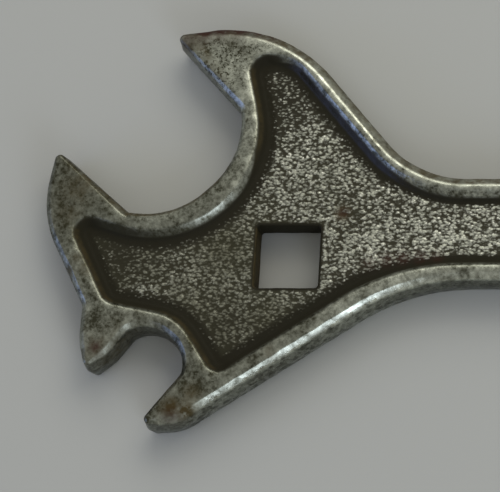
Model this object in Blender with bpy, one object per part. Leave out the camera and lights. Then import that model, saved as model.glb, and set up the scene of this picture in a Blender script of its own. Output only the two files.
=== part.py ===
"""Open-end wrench: one flat steel forging with a large jaw, a small jaw, a square hole and a ribbed handle.

Plan positions are measured from the centre of the square hole, X along the handle and Y across it. Front is
towards the handle and back is away from it. The plan outline is the parting line at half the thickness. At the
end the forging is moved so that the middle of its box's underside is at the origin. Lengths are metres and
angles are degrees, anticlockwise from +X.
"""

import math

import bmesh
import bpy
from mathutils import Vector

# Whole forging
OVERALL_LENGTH = 0.178
THICKNESS = 0.007
DRAFT_ANGLE = 6.34  # lean of every outer wall, inwards from the parting line
TIP_RADIUS = 0.0003  # radius left at a prong's tip on the flat of the face

# Edges between the outer wall and the faces
WORN_SHARE = 0.5  # how much of an edge is rubbed to a bevel, the rest being round
TIP_EDGE = 0.0005
JAW_EDGE = 0.0011
THROAT_EDGE = 0.0008
BACK_EDGE = 0.0011
CREST_EDGE = 0.0012
LOWER_EDGE = 0.0017
END_EDGE = 0.0012

# Handle
HANDLE_WIDTH = 0.0161
HANDLE_RISE = 0.00405  # centreline of the handle above the centre of the hole
HANDLE_END_RADIUS = 0.006

# Large jaw: a round throat behind two flats, with its mouth up and back
LARGE_JAW_OPENING = 0.0224
LARGE_JAW_CENTRE = (-0.0221, 0.0205)
LARGE_JAW_ANGLE = 134.5
LARGE_THROAT_DEPTH = 0.0058
LARGE_UPPER_REACH = 0.0087
LARGE_UPPER_FLARE = 1.6
LARGE_LOWER_REACH = 0.0076
LARGE_LOWER_FLARE = 5.2

# Small jaw: its mouth is down and back, and its back prong curves away to a point
SMALL_JAW_OPENING = 0.0101
SMALL_JAW_CENTRE = (-0.02075, -0.0173)
SMALL_JAW_ANGLE = 233.0
SMALL_THROAT_DEPTH = 0.0029
SMALL_FRONT_REACH = 0.0073
SMALL_BACK_REACH = 0.0015  # where the back flat starts to curve away
SMALL_BACK_CURVE = 0.006
SMALL_TIP_REACH = 0.00584
SMALL_TIP_SPREAD = 0.00138  # the point of the back prong, beyond the line of its flat
KINK_RADIUS = 0.0012  # where a jaw's flat runs into its throat

# Outside of the head
SHOULDER_WALL = 0.01215  # from the round of the large throat to the outside of the shoulder
SHOULDER_SLOPE = 49.5
SHOULDER_RADIUS = 0.022
CREST_RISE = 0.00132  # crest above the upper tip
CREST_LENGTH = 0.0115  # level stretch of the crest before it falls to the upper tip
CREST_RADIUS = 0.012
BACK_BULGE = (-0.0387, 0.007)
BULGE_RADIUS = 0.017
BACK_NOTCH = (-0.03075, -0.00795)
NOTCH_RADIUS = 0.0015
SMALL_BACK_BEND = (-0.0309, -0.0134)
SMALL_BACK_BEND_RADIUS = 0.01
LOWER_CORNER = (-0.015, -0.0262)
LOWER_SLOPE = 33.6
LOWER_CORNER_RADIUS = 0.008
TOP_NECK_RADIUS = 0.016
BOTTOM_NECK_RADIUS = 0.030

# Rim round the recess, from the parting line to the top of the recess wall
RIM_HANDLE = 0.00245
RIM_END = 0.005
RIM_SHOULDER = 0.0022
RIM_LOWER = 0.0028
RIM_BACK = 0.0032
RIM_LARGE_THROAT = 0.0033
RIM_LARGE_SIDE = 0.0017
RIM_SMALL_THROAT = 0.0022
RIM_CREST = 0.0052

# Recess on each face: a sloping wall down to the web
RECESS_DEPTH = 0.0015
RECESS_SLOPE = 0.0017
RECESS_SKEW = 0.65  # below 1 the wall is steeper at its top than at its foot
UPPER_LOBE_ANGLE = 10.0  # where the recess leaves the round of the large throat
LOWER_LOBE_ANGLE = -107.0
SMALL_BACK_ANGLE = 79.0  # where the recess meets and leaves the round of the small throat
SMALL_FRONT_ANGLE = 34.5
LOBE_RADIUS = 0.0026
LOBE_SHOULDER_RADIUS = 0.009
LOBE_BACK_RADIUS = 0.0035

# Square hole through the web
HOLE_SIZE = 0.009525
HOLE_CORNER_RADIUS = 0.0005
HOLE_EDGE_RADIUS = 0.0003

# Facets
FILLET_SHARE = 0.98  # most of a side that the fillets at its two ends take
ARC_STEP = 7.5
EDGE_STEPS = 1  # facets of each round of an edge, above and below its bevel
SLOPE_STEPS = 4
HOLE_EDGE_STEPS = 2
SHARP_ANGLE = 40.0

STEEL_COLOUR = (0.26, 0.25, 0.22, 1.0)
STEEL_ROUGHNESS = 0.45


def heading(angle):
    """Unit vector at this angle."""
    return Vector((math.cos(math.radians(angle)), math.sin(math.radians(angle))))


def meet(line_a, line_b):
    """Point where two lines cross. A line is a point on it and the angle that it runs at."""
    (point_a, angle_a), (point_b, angle_b) = line_a, line_b
    along_a, along_b = heading(angle_a), heading(angle_b)
    reach = (point_b - point_a).cross(along_b) / along_a.cross(along_b)
    return point_a + along_a * reach


def offset(line, distance):
    """The line moved to its left by this distance."""
    point, angle = line
    return point + heading(angle + 90) * distance, angle


def line_through(start, end):
    along = Vector(end) - Vector(start)
    return Vector(start), math.degrees(math.atan2(along.y, along.x))


def tangent(centre, radius, angle):
    """Line touching a circle at this angle, running clockwise round it."""
    return Vector(centre) + heading(angle) * radius, angle - 90


def rounded(corners):
    """Points of a closed outline, their inward normals and their edge sizes.

    Corners are (point, fillet radius, edge size) in anticlockwise order. A fillet is made smaller where its two
    sides are too short for it.
    """
    count = len(corners)
    points = [Vector(corner[0]) for corner in corners]
    sides = [points[i] - points[i - 1] for i in range(count)]
    turns = [-sides[i].angle_signed(sides[(i + 1) % count]) for i in range(count)]
    reach = [corners[i][1] * math.tan(abs(turns[i]) / 2) for i in range(count)]
    path, normals, edges = [], [], []
    for i, (_, radius, edge) in enumerate(corners):
        after = (i + 1) % count
        shrink = min(
            1,
            FILLET_SHARE * sides[i].length / (reach[i - 1] + reach[i]),
            FILLET_SHARE * sides[after].length / (reach[i] + reach[after]),
        )
        side = math.copysign(shrink, turns[i])
        along = sides[i].normalized()
        left = math.degrees(math.atan2(along.y, along.x)) + 90
        centre = points[i] - along * reach[i] * shrink + heading(left) * radius * side
        turn = math.degrees(turns[i])
        steps = max(1, math.ceil(round(abs(turn) / ARC_STEP, 3)))
        for step in range(steps + 1):
            inward = heading(left + turn * step / steps)
            path.append(centre - inward * radius * side)
            normals.append(inward)
            edges.append(edge)
    return path, normals, edges


def throat(opening, depth):
    """Radius of a throat through the inner ends of its flats, and how far behind its centre they lie."""
    half = opening / 2
    radius = (half * half + depth * depth) / (2 * depth)
    return radius, radius - depth


def jaw_point(centre, angle, out, across):
    """Plan point of a jaw: out along its mouth from the throat's centre, across to the right of the mouth."""
    return Vector(centre) + heading(angle) * out + heading(angle - 90) * across


def throat_corners(centre, angle, opening, depth, edges):
    """Corners between a jaw's two flats, from the one on the right of the mouth to the one on the left."""
    radius, flat_start = throat(opening, depth)
    half = opening / 2
    half_turn = math.asin(half / radius) / 2
    side = radius * math.tan(half_turn)
    kink_reach = KINK_RADIUS * math.tan(math.radians(45) - half_turn)
    fillet = radius * (1 - kink_reach / side)
    places = (
        (-flat_start, half, KINK_RADIUS),
        (-radius, side, fillet),
        (-radius, -side, fillet),
        (-flat_start, -half, KINK_RADIUS),
    )
    return [(jaw_point(centre, angle, *place), size, edge) for (*place, size), edge in zip(places, edges)]


def large_tip(reach, flare, side):
    """Sharp end of a large prong: side is 1 for the upper one and -1 for the lower one."""
    flat_start = throat(LARGE_JAW_OPENING, LARGE_THROAT_DEPTH)[1]
    spread = (reach + flat_start) * math.tan(math.radians(flare))
    return jaw_point(LARGE_JAW_CENTRE, LARGE_JAW_ANGLE, reach, side * (LARGE_JAW_OPENING / 2 + spread))


def handle_lines():
    """Bottom and top edges of the handle, running anticlockwise round the forging."""
    bottom = Vector((0, HANDLE_RISE - HANDLE_WIDTH / 2)), 0.0
    top = Vector((0, HANDLE_RISE + HANDLE_WIDTH / 2)), 180.0
    return bottom, top


def shoulder_line():
    """Outside of the shoulder, running up and back."""
    reach = throat(LARGE_JAW_OPENING, LARGE_THROAT_DEPTH)[0] + SHOULDER_WALL
    return Vector(LARGE_JAW_CENTRE) + heading(90 - SHOULDER_SLOPE) * reach, 180 - SHOULDER_SLOPE


def crest_line():
    tip = large_tip(LARGE_UPPER_REACH, LARGE_UPPER_FLARE, 1)
    return tip + Vector((0, CREST_RISE)), 180.0


def lower_line():
    return Vector(LOWER_CORNER), LOWER_SLOPE


def lean(edge):
    """How far in from the parting line a wall is where an edge of this size starts."""
    return (THICKNESS / 2 - edge) * math.tan(math.radians(DRAFT_ANGLE))


def head_corners():
    """Corners of the parting line, from the handle's upper neck round the head to its lower neck."""
    bottom, top = handle_lines()
    tip = TIP_RADIUS + TIP_EDGE + lean(TIP_EDGE), TIP_EDGE
    large = LARGE_JAW_CENTRE, LARGE_JAW_ANGLE
    small = SMALL_JAW_CENTRE, SMALL_JAW_ANGLE
    half = SMALL_JAW_OPENING / 2
    large_edges = JAW_EDGE, THROAT_EDGE, THROAT_EDGE, JAW_EDGE
    shoulder_top = meet(shoulder_line(), crest_line())
    crest_back = shoulder_top - Vector((CREST_LENGTH, 0))
    return [
        (meet(top, shoulder_line()), TOP_NECK_RADIUS, CREST_EDGE),
        (shoulder_top, SHOULDER_RADIUS, CREST_EDGE),
        (crest_back, CREST_RADIUS, CREST_EDGE),
        (large_tip(LARGE_UPPER_REACH, LARGE_UPPER_FLARE, 1), *tip),
        *throat_corners(*large, LARGE_JAW_OPENING, LARGE_THROAT_DEPTH, large_edges),
        (large_tip(LARGE_LOWER_REACH, LARGE_LOWER_FLARE, -1), *tip),
        (BACK_BULGE, BULGE_RADIUS, BACK_EDGE),
        (BACK_NOTCH, NOTCH_RADIUS, BACK_EDGE),
        (SMALL_BACK_BEND, SMALL_BACK_BEND_RADIUS, BACK_EDGE),
        (jaw_point(*small, SMALL_TIP_REACH, half + SMALL_TIP_SPREAD), *tip),
        (jaw_point(*small, SMALL_BACK_REACH, half), SMALL_BACK_CURVE, JAW_EDGE),
        *throat_corners(*small, SMALL_JAW_OPENING, SMALL_THROAT_DEPTH, (JAW_EDGE,) * 4),
        (jaw_point(*small, SMALL_FRONT_REACH, -half), *tip),
        (LOWER_CORNER, LOWER_CORNER_RADIUS, LOWER_EDGE),
        (meet(lower_line(), bottom), BOTTOM_NECK_RADIUS, LOWER_EDGE),
    ]


def handle_end():
    """X of the handle's far end, the overall length from the furthest point back on the head."""
    return min(point.x for point in rounded(head_corners())[0]) + OVERALL_LENGTH


def outline():
    """Corners of the parting line all round."""
    end = handle_end()
    return [((end, line[0].y), HANDLE_END_RADIUS, END_EDGE) for line in handle_lines()] + head_corners()


def recess():
    """Corners of the recess at its upper edge, which stays sharp."""
    bottom, top = handle_lines()
    bottom = offset(bottom, RIM_HANDLE)
    top = offset(top, RIM_HANDLE)
    end = Vector((handle_end() - RIM_END, 0)), 90.0
    shoulder = offset(shoulder_line(), RIM_SHOULDER)
    lobe_end = offset(crest_line(), RIM_CREST)
    rear = offset(line_through(BACK_BULGE, BACK_NOTCH), RIM_BACK)
    lower = offset(lower_line(), RIM_LOWER)
    large_radius = throat(LARGE_JAW_OPENING, LARGE_THROAT_DEPTH)[0] + RIM_LARGE_SIDE
    large_centre = jaw_point(LARGE_JAW_CENTRE, LARGE_JAW_ANGLE, RIM_LARGE_SIDE - RIM_LARGE_THROAT, 0)
    upper_side = tangent(large_centre, large_radius, UPPER_LOBE_ANGLE)
    lower_side = tangent(large_centre, large_radius, LOWER_LOBE_ANGLE)
    small_radius = throat(SMALL_JAW_OPENING, SMALL_THROAT_DEPTH)[0] + RIM_SMALL_THROAT
    small_back = tangent(SMALL_JAW_CENTRE, small_radius, SMALL_BACK_ANGLE)
    small_front = tangent(SMALL_JAW_CENTRE, small_radius, SMALL_FRONT_ANGLE)
    corners = [
        (meet(bottom, end), LOBE_RADIUS),
        (meet(end, top), LOBE_RADIUS),
        (meet(top, shoulder), TOP_NECK_RADIUS + RIM_HANDLE),
        (meet(shoulder, lobe_end), LOBE_SHOULDER_RADIUS),
        (meet(lobe_end, upper_side), LOBE_RADIUS),
        (meet(upper_side, lower_side), large_radius),
        (meet(lower_side, rear), LOBE_RADIUS),
        (meet(rear, small_back), LOBE_BACK_RADIUS),
        (meet(small_back, small_front), small_radius),
        (meet(small_front, lower), LOBE_RADIUS),
        (meet(lower, bottom), BOTTOM_NECK_RADIUS + RIM_HANDLE),
    ]
    return [(*corner, 0) for corner in corners]


def hole():
    """Corners of the square hole at the web's faces, anticlockwise, so that its normals point into the void."""
    half = HOLE_SIZE / 2 + HOLE_EDGE_RADIUS
    radius = HOLE_CORNER_RADIUS + HOLE_EDGE_RADIUS
    return [((x * half, y * half), radius, HOLE_EDGE_RADIUS) for x, y in ((-1, -1), (1, -1), (1, 1), (-1, 1))]


def quarter(radius, steps):
    """(inset, drop) pairs of a rounded edge, from the wall up to the flat."""
    angles = [math.pi / 2 * step / steps for step in range(steps + 1)]
    return [(radius * (1 - math.cos(angle)), radius * (1 - math.sin(angle))) for angle in angles]


def worn_edge(size):
    """(inset, drop) pairs of an outer edge, from the wall up to the flat: a bevel between two small rounds."""
    bevel = size * WORN_SHARE
    rounds = quarter(size - bevel, 2 * EDGE_STEPS)
    below = [(inset, drop + bevel) for inset, drop in rounds[: EDGE_STEPS + 1]]
    above = [(inset + bevel, drop) for inset, drop in rounds[EDGE_STEPS:]]
    return below + above


def add_ring(bm, points, height):
    """A closed loop of vertices at this height."""
    return [bm.verts.new((point.x, point.y, height)) for point in points]


def inset_rings(bm, path, normals, levels):
    """One ring for each (inset, height) level: the outline moved along its normals."""
    rings = []
    for inset, height in levels:
        moved = [point + normal * inset for point, normal in zip(path, normals)]
        rings.append(add_ring(bm, moved, height))
    return rings


def wall_rings(bm):
    """The outer wall from the underside to the top, leaning in from the parting line to worn edges."""
    path, normals, edges = rounded(outline())
    upper = []
    for level in zip(*[worn_edge(edge) for edge in edges]):
        ring = []
        for point, normal, edge, (inset, drop) in zip(path, normals, edges, level):
            moved = point + normal * (lean(edge) + inset)
            ring.append(bm.verts.new((moved.x, moved.y, THICKNESS - drop)))
        upper.append(ring)
    return mirrored(bm, upper)[::-1] + [add_ring(bm, path, THICKNESS / 2)] + upper


def hole_rings(bm):
    """The hole's wall from the lower web face to the upper one."""
    edge = [(HOLE_EDGE_RADIUS - inset, drop) for inset, drop in quarter(HOLE_EDGE_RADIUS, HOLE_EDGE_STEPS)]
    lower = [(inset, RECESS_DEPTH + drop) for inset, drop in edge[::-1]]
    upper = [(inset, THICKNESS - RECESS_DEPTH - drop) for inset, drop in edge]
    path, normals, _ = rounded(hole())
    return inset_rings(bm, path, normals, lower + upper)


def recess_rings(bm):
    """The recess wall of the top face, from the rim down to the web in a smooth S."""
    levels = []
    for step in range(SLOPE_STEPS + 1):
        share = step / SLOPE_STEPS
        drop = RECESS_DEPTH * (1 - math.cos(math.pi * share**RECESS_SKEW)) / 2
        levels.append((RECESS_SLOPE * share, THICKNESS - drop))
    path, normals, _ = rounded(recess())
    return inset_rings(bm, path, normals, levels)


def mirrored(bm, rings):
    """Copies of the rings on the other face."""
    return [[bm.verts.new((v.co.x, v.co.y, THICKNESS - v.co.z)) for v in ring] for ring in rings]


def skin(bm, rings):
    """Quads between each ring and the next."""
    for lower, upper in zip(rings, rings[1:]):
        for i, vert in enumerate(lower):
            after = (i + 1) % len(lower)
            bm.faces.new((vert, lower[after], upper[after], upper[i]))


def fill_between(bm, outer, inner):
    """Flat face between two closed loops of vertices."""
    edges = []
    for ring in (outer, inner):
        for i, vert in enumerate(ring):
            pair = (vert, ring[(i + 1) % len(ring)])
            edges.append(bm.edges.get(pair) or bm.edges.new(pair))
    bmesh.ops.triangle_fill(bm, use_beauty=True, edges=edges, normal=(0, 0, 1))


def build_forging():
    """The closed mesh of the wrench, with the hole's centre over the origin."""
    bm = bmesh.new()
    wall = wall_rings(bm)
    top_recess = recess_rings(bm)
    under_recess = mirrored(bm, top_recess)
    through = hole_rings(bm)
    for rings in (wall, top_recess, under_recess, through):
        skin(bm, rings)
    fill_between(bm, wall[-1], top_recess[0])
    fill_between(bm, wall[0], under_recess[0])
    fill_between(bm, top_recess[-1], through[-1])
    fill_between(bm, under_recess[-1], through[0])
    bmesh.ops.recalc_face_normals(bm, faces=bm.faces)
    return bm


def stand_on_origin(bm):
    """Moves the mesh so that the middle of its box's underside is at the origin."""
    xs = [vert.co.x for vert in bm.verts]
    ys = [vert.co.y for vert in bm.verts]
    middle = Vector((min(xs) + max(xs), min(ys) + max(ys), 0)) / 2
    bmesh.ops.translate(bm, vec=-middle, verts=bm.verts)


def forged_steel():
    material = bpy.data.materials.new("forged_steel")
    material.use_nodes = True
    shader = material.node_tree.nodes["Principled BSDF"]
    shader.inputs["Base Color"].default_value = STEEL_COLOUR
    shader.inputs["Metallic"].default_value = 1.0
    shader.inputs["Roughness"].default_value = STEEL_ROUGHNESS
    material.diffuse_color = STEEL_COLOUR
    return material


def main():
    for old in list(bpy.data.objects):
        bpy.data.objects.remove(old)
    bm = build_forging()
    stand_on_origin(bm)
    mesh = bpy.data.meshes.new("wrench_forging")
    bm.to_mesh(mesh)
    bm.free()
    mesh.shade_smooth()
    mesh.set_sharp_from_angle(angle=math.radians(SHARP_ANGLE))
    mesh.materials.append(forged_steel())
    bpy.context.scene.collection.objects.link(bpy.data.objects.new("wrench_forging", mesh))


main()
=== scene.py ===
"""Open-end wrench: the worn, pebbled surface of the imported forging, with its floor, lights and camera.

The solid model sets the box, the jaws and the hole. This script makes the same shape again with a finer
skin: worn edges, sloping recess walls and a pebbled web. The rim's inner edge and the worn edges follow the
photo a little closer than the solid does. Plan outlines are measured from the centre of the square hole, X
along the handle and Y across it, and the finished mesh is moved to the solid's own place. Lengths are
metres, angles are degrees.
"""

import math

import bpy
import numpy as np
from bpy.props import FloatProperty, FloatVectorProperty, IntProperty, PointerProperty
from mathutils import Matrix, Vector
from mathutils.geometry import delaunay_2d_cdt
from mathutils.kdtree import KDTree


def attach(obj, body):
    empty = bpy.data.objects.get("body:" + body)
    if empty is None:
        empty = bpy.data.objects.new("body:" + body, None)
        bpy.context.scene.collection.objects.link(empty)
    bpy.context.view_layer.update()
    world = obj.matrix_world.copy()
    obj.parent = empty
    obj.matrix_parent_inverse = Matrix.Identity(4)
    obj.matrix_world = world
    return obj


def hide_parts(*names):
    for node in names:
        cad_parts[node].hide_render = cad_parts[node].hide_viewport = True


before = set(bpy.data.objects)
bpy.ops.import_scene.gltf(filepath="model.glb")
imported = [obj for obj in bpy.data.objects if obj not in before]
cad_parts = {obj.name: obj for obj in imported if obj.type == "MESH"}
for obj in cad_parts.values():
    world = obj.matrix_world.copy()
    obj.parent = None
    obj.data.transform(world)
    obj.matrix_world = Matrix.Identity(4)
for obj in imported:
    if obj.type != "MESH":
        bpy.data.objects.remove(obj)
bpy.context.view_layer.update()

bl_info = {
    "name": "Open-end Wrench",
    "version": (1, 0, 0),
    "blender": (4, 5, 0),
    "location": "3D View > Sidebar > Wrench",
    "description": "Builds a worn forged wrench over its solid model, and a plain stage for it",
    "category": "Mesh",
}

NODE = "wrench_forging"
PIECE = "worn_forging"
BODY = "root"
MM = 0.001

# Forging, outside
DRAFT_ANGLE = 6.34
TIP_RADIUS = 0.0003
WORN_SHARE = 0.5
TIP_EDGE = 0.0005
JAW_EDGE = 0.0011
THROAT_EDGE = 0.0008
BACK_EDGE = 0.0011
CREST_EDGE = 0.0016
LOWER_EDGE = 0.0013
HANDLE_RISE = 0.00405
HANDLE_END_RADIUS = 0.006
LARGE_JAW_CENTRE = (-0.0221, 0.0205)
LARGE_JAW_ANGLE = 134.5
LARGE_THROAT_DEPTH = 0.0058
LARGE_UPPER_REACH = 0.0087
LARGE_UPPER_FLARE = 1.6
LARGE_LOWER_REACH = 0.0076
LARGE_LOWER_FLARE = 5.2
SMALL_JAW_CENTRE = (-0.02075, -0.0173)
SMALL_JAW_ANGLE = 233.0
SMALL_THROAT_DEPTH = 0.0029
SMALL_FRONT_REACH = 0.0073
SMALL_BACK_REACH = 0.0015
SMALL_BACK_CURVE = 0.006
SMALL_TIP_REACH = 0.00584
SMALL_TIP_SPREAD = 0.00138
KINK_RADIUS = 0.0012
SHOULDER_WALL = 0.01215
SHOULDER_SLOPE = 49.5
SHOULDER_RADIUS = 0.022
CREST_RISE = 0.00132
CREST_LENGTH = 0.0115
CREST_RADIUS = 0.012
BACK_BULGE = (-0.0387, 0.007)
BULGE_RADIUS = 0.017
BACK_NOTCH = (-0.03075, -0.00795)
NOTCH_RADIUS = 0.0015
SMALL_BACK_BEND = (-0.0309, -0.0134)
SMALL_BACK_BEND_RADIUS = 0.01
LOWER_CORNER = (-0.015, -0.0262)
LOWER_SLOPE = 33.6
LOWER_CORNER_RADIUS = 0.008
TOP_NECK_RADIUS = 0.016
BOTTOM_NECK_RADIUS = 0.030

# Rim, recess and hole
RIM_HANDLE = 0.0021
RIM_END = 0.005
RIM_SHOULDER = 0.0022
RIM_LOWER = 0.0028
RIM_BACK = 0.0032
RIM_LARGE_THROAT = 0.0033
RIM_LARGE_SIDE = 0.0014
RIM_SMALL_THROAT = 0.0022
RIM_CREST = 0.0044
RECESS_SLOPE = 0.0019
SLOPE_TOP = 0.2
SLOPE_FOOT = 0.2
UPPER_LOBE_ANGLE = 14.0
LOWER_LOBE_ANGLE = -107.0
SMALL_BACK_ANGLE = 79.0
SMALL_FRONT_ANGLE = 34.5
LOBE_RADIUS = 0.0026
UPPER_LOBE_RADIUS = 0.0036
LOBE_SHOULDER_RADIUS = 0.009
LOBE_BACK_RADIUS = 0.0035
HOLE_CORNER_RADIUS = 0.0005
HOLE_EDGE_RADIUS = 0.0003

# Fineness of the skin
FILLET_SHARE = 0.98
ARC_STEP = 3.0
WALL_STEP = 0.0006
RIM_STEP = 0.0008
WEB_STEP = 0.00026
NEAR_STEP = 0.00005
EDGE_STEPS = 2
WALL_STEPS = 3
SLOPE_STEPS = 8
HOLE_EDGE_STEPS = 3
HOLE_WALL_STEPS = 5
SCATTER_SEED = 11
SCATTER_SHIFT = 0.22
SCATTER_CLEAR = 0.6
ROW_HEIGHT = math.sqrt(0.75)
HULL_TRIANGLES = 0
WELD_DISTANCE = 1e-9
MOST_TRIANGLES = 200000
WALL, RIM, SLOPE, WEB, HOLE = range(5)

# Chips and dents knocked into the steel: place, radius and depth in millimetres
DENTS = (
    ((-84.2, -7.6, 6.4), 0.7, 0.35),
    ((-83.7, -9.2, 6.5), 0.5, 0.25),
    ((-82.1, -7.0, 7.0), 0.4, 0.20),
    ((-81.3, -8.0, 7.0), 0.35, 0.18),
    ((-82.8, -5.7, 7.0), 0.4, 0.20),
    ((-83.0, -3.9, 6.9), 0.5, 0.20),
    ((-52.8, -19.9, 7.0), 0.45, 0.20),
    ((-58.4, 14.3, 6.8), 0.5, 0.14),
    ((-56.9, 17.1, 7.0), 0.35, 0.12),
    ((-43.3, 1.7, 5.5), 0.7, 0.22),
    ((-61.8, -27.0, 6.4), 0.6, 0.10),
    ((-57.4, -24.3, 6.5), 0.7, 0.12),
    ((-54.9, -22.6, 6.4), 0.5, 0.14),
    ((-50.6, -19.7, 6.5), 0.6, 0.14),
    ((-47.6, -17.8, 6.4), 0.5, 0.12),
    ((-44.2, -15.7, 6.5), 0.6, 0.12),
)
# Marks of age: place, radius in millimetres and strength
RUST = (
    ((-68.2, 29.1, 6.3), 1.5, 0.8),
    ((-65.9, 30.3, 6.0), 1.8, 1.4),
    ((-63.3, 30.8, 6.0), 1.8, 1.4),
    ((-60.5, 30.8, 6.0), 1.8, 1.3),
    ((-57.9, 30.4, 6.0), 1.6, 1.0),
    ((-55.4, 29.4, 6.0), 1.4, 0.7),
    ((-79.0, -19.4, 7.0), 0.9, 1.0),
    ((-43.3, 1.7, 5.5), 0.8, 0.8),
    ((-66.9, -29.6, 6.4), 1.3, 0.7),
    ((-39.0, -6.0, 5.6), 1.0, 0.5),
    ((-36.5, -5.5, 5.6), 1.0, 0.7),
    ((-34.0, -5.3, 5.6), 1.0, 0.8),
    ((-31.5, -5.2, 5.6), 1.0, 0.7),
    ((-29.0, -5.2, 5.6), 1.0, 0.6),
)
STAIN_AND_SHADE_SPOTS = (
    ((-66.8, -28.4, 7.0), 1.8, 1.2),
    ((-64.7, -28.9, 6.6), 1.7, 1.3),
    ((-64.1, -26.5, 7.0), 1.5, 0.9),
    ((-82.1, -7.0, 7.0), 0.6, 1.2),
    ((-81.3, -8.0, 7.0), 0.5, 1.2),
    ((-82.8, -5.7, 7.0), 0.6, 1.2),
    ((-84.2, -7.6, 6.4), 0.8, 1.0),
    ((-52.8, -19.9, 7.0), 0.8, 1.2),
    ((-79.0, -19.4, 7.0), 2.2, 0.6),
    ((-67.5, 27.6, 7.0), 1.6, 0.6),
    ((-66.5, 27.5, 7.0), 0.8, 0.9),
    ((-65.7, 26.5, 7.0), 0.8, 0.9),
    ((-64.8, 25.5, 7.0), 0.8, 0.8),
    ((-64.0, 24.6, 7.0), 0.8, 0.7),
    ((-63.1, 23.4, 7.0), 0.7, 0.7),
    ((-62.3, 22.4, 7.0), 0.7, 0.6),
    ((-83.5, 5.5, 7.0), 2.6, 0.6),
    ((-85.0, 1.5, 7.0), 2.2, 0.45),
    # Dark brown inside the small jaw: painted shade
    ((-75.2, -18.9, 4.6), 3.0, 0.8),
    ((-78.0, -20.6, 5.0), 1.8, 0.6),
    ((-43.3, 1.7, 5.5), 1.0, 1.2),
)
# Darker steel towards the jaws: partly an oily film, partly painted shade on the head's left and lower parts
SOOT_AND_SHADE_SPOTS = (
    ((-82.0, 3.0, 3.5), 14.0, 1.0),
    ((-74.0, -6.0, 3.5), 12.0, 0.8),
    ((-63.0, -16.0, 3.5), 15.0, 0.9),
    ((-61.0, -4.0, 3.5), 9.0, 0.95),
    ((-54.0, -15.0, 3.5), 8.0, 0.95),
    ((-45.0, 3.0, 3.5), 9.0, 0.35),
    ((-60.0, 26.0, 3.5), 7.0, 0.5),
)
# Thick grime and painted shade in the recess's corners
GRIME_AND_SHADE_SPOTS = (
    ((-56.9, 25.6, 5.5), 3.3, 1.0),
    ((-58.2, 20.5, 5.5), 3.0, 0.9),
    ((-57.6, 16.5, 5.5), 2.6, 0.8),
    ((-82.3, -0.2, 5.5), 3.0, 1.0),
    ((-60.2, -22.2, 5.5), 2.6, 1.0),
    ((-54.5, 20.0, 5.5), 7.0, 0.5),
    ((-77.0, -3.0, 5.5), 7.0, 0.45),
    ((-60.0, -17.0, 5.5), 5.0, 0.3),
)
# Painted glints: spots where the darkening towards the jaws is lifted, so that the pebbles there show bright
PAINTED_GLINTS = (
    ((-72.9, -10.1, 5.5), 1.2, 0.8),
    ((-74.3, -10.7, 5.5), 1.0, 0.8),
    ((-64.1, -16.3, 5.5), 1.2, 0.8),
    ((-62.5, -18.3, 5.5), 1.2, 0.8),
)
# Rims rubbed bright by use
POLISH = (
    ((-76.5, 1.0, 7.0), 2.0, 0.8),
    ((-73.5, 0.8, 7.0), 2.2, 0.9),
    ((-70.0, 1.6, 7.0), 2.2, 0.8),
)
# Pitted forged skin on the flats
PITS = (
    ((-62.0, 25.0, 7.0), 5.5, 1.0),
    ((-56.5, 28.0, 7.0), 4.0, 0.8),
)

# Below, a pair is a ramp: where an effect starts and where it is full. FACES_ and STAINED_ ramps run over a
# part of a wall's outward direction, and ramps along a recess wall over its width, from the rim down.

# Pebbles, which fade out towards the web's walls into a dark margin of dirt and painted shade, more slowly on
# the head than past the neck
HEAD_FADE = 0.0023
HANDLE_FADE = 0.0005
FADE_START = -0.0004
HOLE_FADE = 0.0005
NECK = (-0.042, -0.030)

# Dirt and painted shade on the recess walls, and the share of their width that it leaves clean below the rim.
# Walls facing south or north are left cleaner and brighter along their tops, where the lamps' highlights fall
CLEAN_SHARE = 0.1
CLEAN_SOUTH = 0.18
CLEAN_SOUTH_EAST = 0.22
CLEAN_NORTH = 0.14
FACES_SOUTH = (0.1, 0.6)
FACES_NORTH = (0.6, 0.9)
FACES_EASTWARD = (-0.7, -0.2)
FACES_OILY = (0.1, 0.4)
DARKENING_FADE = 0.35
GRIME_AND_SHADE_FADE = (0.1, 0.4)
HOLE_DARKENING = 0.9

# Rubbed edges: strengths, and how far they reach. Recess walls facing north or south-east are brightened
# where the lamps' highlights fall, a painted highlight, and outer bevels facing south-west are dulled to dim
# a reflection, painted shade
BEVEL_SHARE = 0.95
RUBBED_BEVELS = (0.0007, 0.0013)
MOUTH_SHADE = 0.8
FACES_MOUTH = (0.2, 0.5)
WALL_TOP_RUB = 0.7
WALL_TOP_SHARE = 0.2
NORTH_TOP_HIGHLIGHT = 0.2
NORTH_HIGHLIGHT_SHARE = 0.1
FACES_HIGHLIGHT = (0.2, 0.6)
HIGHLIGHT_FADE = (0.25, 0.55)
INNER_RIM_RUB = 0.7
OUTER_RIM_RUB = 0.4
RIM_RUB_REACH = 0.0006
HOLE_RUB = 0.4
HOLE_RUB_REACH = 0.0004

# Steel made bright on the shoulder and along the lower edge of the head: partly polish from handling, partly
# painted highlight where the lamps' highlights fall
SHOULDER_SHINE = 0.5
SHOULDER_SHINE_X = (-0.062, -0.050)
SHOULDER_SHINE_Y = (0.0, 0.004)
LOWER_SHINE = 1.2
LOWER_SHINE_START = (-0.068, -0.062)
LOWER_SHINE_END = (-0.030, -0.040)
FACES_LOWER = (0.4, 0.8)

# Brown on outer walls facing north and on recess walls and hole walls facing east: partly tarnish, partly a
# painted warm reflection and painted shade
BEVEL_BROWN = 0.9
WALL_BROWN = 0.4
BAND_BROWN = 0.6
HOLE_BROWN = 0.6
BAND_START = (0.15, 0.3)
BAND_END = (0.4, 0.65)
BROWN_NORTH = (0.2, 0.6)
BROWN_EAST = (0.05, 0.4)
BROWN_NORTHWARD = (-0.3, 0.0)

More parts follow.
